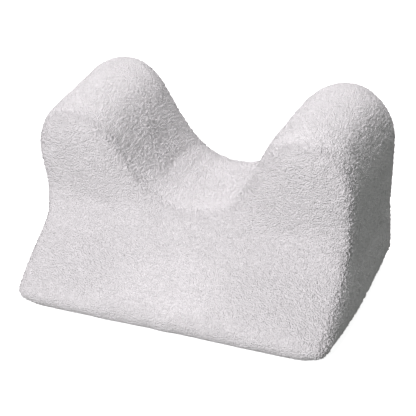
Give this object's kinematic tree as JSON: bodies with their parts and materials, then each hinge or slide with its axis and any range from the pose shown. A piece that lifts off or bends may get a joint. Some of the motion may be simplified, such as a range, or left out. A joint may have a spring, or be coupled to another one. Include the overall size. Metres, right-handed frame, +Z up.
{
  "type": "bolster pillow",
  "caption": "Saddle-shaped head and neck bolster pillow: contour foam core in a liner and a zipped terry cover, flared front apron.",
  "frame": {"origin": "on the floor, at the centre of the pillow's footprint", "axes": "+Z up, +X along the pillow from its left lobe to its right lobe, +Y from the apron to the upright back with the zip"},
  "size_m": [0.343, 0.2263, 0.1985],
  "materials": {
    "terry": "white cotton terry, upright loops",
    "terry_base": "white cotton terry, flattened loops",
    "foam": "open-cell polyurethane foam, matte",
    "liner": "fine cotton jersey, matte",
    "thread": "spun polyester thread",
    "zip_tape": "woven polyester tape",
    "zip_teeth": "moulded acetal, semi-matte",
    "zip_metal": "satin nickel plate",
    "label": "blank woven satin"
  },
  "bodies": {
    "pillow": {"foam_core": "foam", "inner_liner": "liner", "cover_front_panel": "terry", "cover_top_strip": "terry", "cover_back_upper": "terry", "cover_back_lower": "terry", "cover_bottom_panel": "terry_base", "front_seam_thread": "thread", "back_seam_thread": "thread", "hem_thread_left": "thread", "hem_thread_right": "thread", "hem_thread_front": "thread", "hem_thread_back": "thread", "zip_tape_lower": "zip_tape", "zip_tape_upper": "zip_tape", "zip_teeth_lower": "zip_teeth", "zip_teeth_upper": "zip_teeth", "zip_top_stop_lower": "zip_metal", "zip_top_stop_upper": "zip_metal", "zip_bottom_stop": "zip_metal", "zip_stitch_lower": "thread", "zip_stitch_upper": "thread", "care_label": "label"},
    "slider": {"zip_slider_body": "zip_metal"},
    "pull": {"zip_pull_tab": "zip_metal"}
  },
  "joints": [
    {"name": "zip_slide", "type": "slide", "parent": "pillow", "child": "slider", "axis": [1, 0, 0], "range_m": [0, 0.232], "deforming": ["zip_teeth_lower", "zip_teeth_upper"]},
    {"name": "pull_hinge", "type": "hinge", "parent": "slider", "child": "pull", "pos_m": [-0.1176, 0.11024, 0.04611], "axis": [0, -0.1431, 0.9897], "range_deg": [0, 175]}
  ]
}
